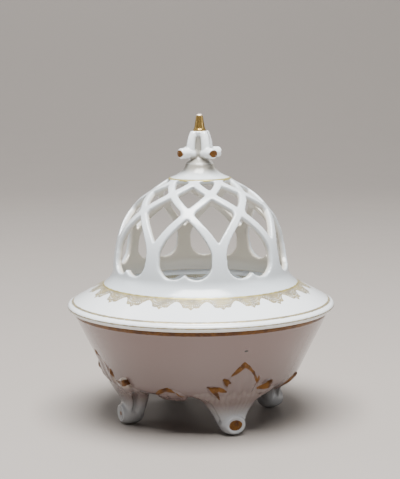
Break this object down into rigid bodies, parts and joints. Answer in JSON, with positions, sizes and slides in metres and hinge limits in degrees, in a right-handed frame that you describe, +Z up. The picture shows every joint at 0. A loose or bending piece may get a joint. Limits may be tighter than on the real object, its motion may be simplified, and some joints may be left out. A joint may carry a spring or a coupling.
{
  "type": "powder box",
  "caption": "Round covered bowl on scroll feet, with a loose domed lid that is pierced as a lattice of crossing ribs under a small finial.",
  "frame": {"origin": "on the table under the middle of the bowl", "axes": "+Z up; the feet stand on the diagonals of X and Y, -Y is towards the front pair"},
  "size_m": [0.1298, 0.1298, 0.1488],
  "materials": {
    "bowl_glaze": "glossy warm white glaze",
    "foot_glaze": "glossy warm white glaze with gilt leaf edges and eyes",
    "lid_glaze": "glossy white glaze with gilt lines and lace border",
    "gilding": "worn burnished gilding"
  },
  "bodies": {
    "base": {"bowl": "bowl_glaze", "foot_front_right": "foot_glaze", "foot_back_right": "foot_glaze", "foot_back_left": "foot_glaze", "foot_front_left": "foot_glaze", "apron_front": "foot_glaze", "apron_right": "foot_glaze", "apron_back": "foot_glaze", "apron_left": "foot_glaze"},
    "lid": {"lid_brim": "lid_glaze", "lid_dome": "lid_glaze", "finial": "lid_glaze", "finial_spire": "gilding"}
  },
  "joints": [
    {"name": "lid_lift", "type": "slide", "parent": "base", "child": "lid", "axis": [0, 0, 1], "range_m": [0, 0.08]}
  ]
}
